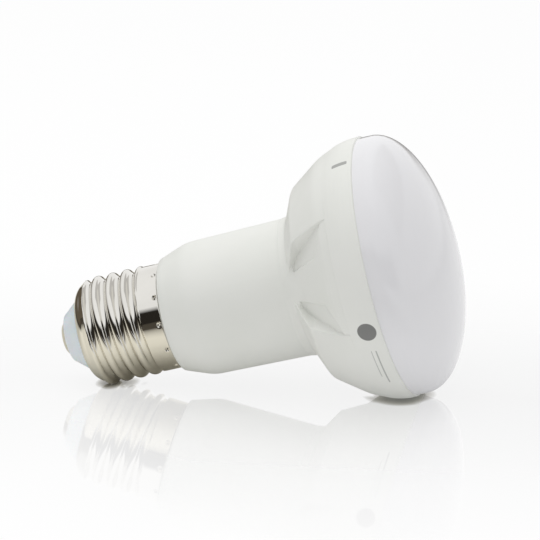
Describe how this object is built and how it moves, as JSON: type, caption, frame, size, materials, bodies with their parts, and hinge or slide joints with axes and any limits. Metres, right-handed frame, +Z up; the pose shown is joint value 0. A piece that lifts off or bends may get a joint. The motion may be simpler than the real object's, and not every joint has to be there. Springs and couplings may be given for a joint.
{
  "type": "reflector lamp",
  "caption": "Reflector lamp with a screw cap, a straight neck, a lobed head and a domed opal lens, lying on its side.",
  "frame": {"origin": "on the surface the lamp lies on, under the middle of its bounding box", "axes": "+X along the lamp over the surface, from the cap to the lens, +Z up"},
  "size_m": [0.0972, 0.063, 0.0621],
  "materials": {
    "nickel": "polished nickel plating on brass sheet",
    "cap_insulation": "bluish white, slightly translucent",
    "housing_plastic": "fine matt warm white moulding",
    "lens_plastic": "milky opal lens",
    "plate_aluminium": "plain pressed sheet",
    "led_laminate": "white solder mask on an aluminium core",
    "led_phosphor": "yellow phosphor",
    "screw_steel": "zinc plated",
    "driver_laminate": "green glass-epoxy laminate",
    "capacitor_sleeve": "dark shrink sleeve",
    "film_case": "plain moulded case",
    "fuse_body": "lacquered body",
    "ferrite": "sintered ferrite",
    "winding_tape": "tape over copper wire",
    "chip_epoxy": "moulded epoxy",
    "lead_red": "insulated lead",
    "lead_white": "insulated lead"
  },
  "bodies": {
    "root": {"centre_contact": "nickel", "cap_insulator": "cap_insulation", "screw_shell": "nickel", "housing": "housing_plastic", "diffuser": "lens_plastic", "heat_plate": "plate_aluminium", "led_board": "led_laminate", "leds": "led_phosphor", "board_screws": "screw_steel", "driver_board": "driver_laminate", "input_capacitor": "capacitor_sleeve", "output_capacitor": "capacitor_sleeve", "film_capacitor": "film_case", "fuse_resistor": "fuse_body", "filter_inductor": "ferrite", "transformer_core": "ferrite", "transformer_winding": "winding_tape", "rectifier": "chip_epoxy", "driver_chip": "chip_epoxy", "output_diode": "chip_epoxy", "live_lead": "lead_red", "neutral_lead": "lead_white", "led_lead_plus": "lead_red", "led_lead_minus": "lead_white"}
  },
  "joints": []
}
